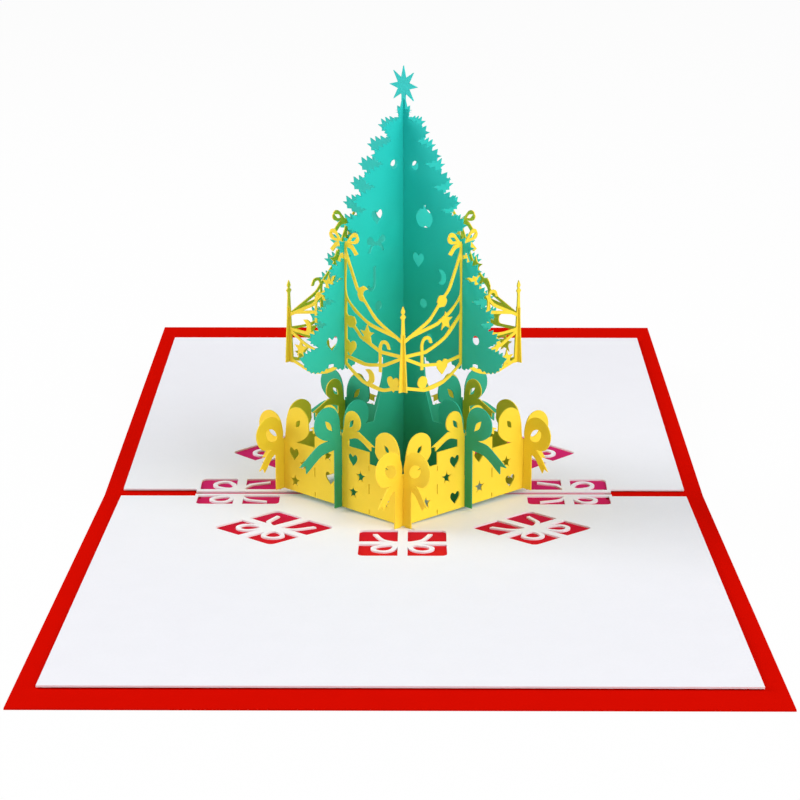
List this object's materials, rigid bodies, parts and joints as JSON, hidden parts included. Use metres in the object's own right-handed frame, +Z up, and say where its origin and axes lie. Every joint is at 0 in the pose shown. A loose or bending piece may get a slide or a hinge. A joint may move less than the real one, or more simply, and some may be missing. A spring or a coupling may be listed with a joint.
{
  "type": "pop-up card",
  "caption": "Square folded greeting card that opens to a pop-up fir tree of crossed cut-paper slices in a ring of paper gifts, hung with garlands.",
  "frame": {"origin": "middle of the card's outer fold line, on the surface that the card lies on", "axes": "+X along the fold to the right, +Y from the front half to the back half, +Z up from the table"},
  "size_m": [0.15, 0.2995, 0.108],
  "materials": {
    "cover_card": "matte",
    "backing_card": "matte",
    "page_card": "matte",
    "box_card": "matte",
    "tree_card": "matte",
    "garland_card": "matte"
  },
  "bodies": {
    "root": {"cover": "cover_card", "backing": "backing_card", "page_front": "page_card", "page_back": "page_card", "box_wall_front_right": "box_card", "box_wall_back_left": "box_card", "box_wall_front_left": "box_card", "box_wall_back_right": "box_card", "tree_slice_star": "tree_card", "tree_slice_plain": "tree_card", "garland_front_right": "garland_card", "garland_back_left": "garland_card", "garland_front_left": "garland_card", "garland_back_right": "garland_card"}
  },
  "joints": []
}
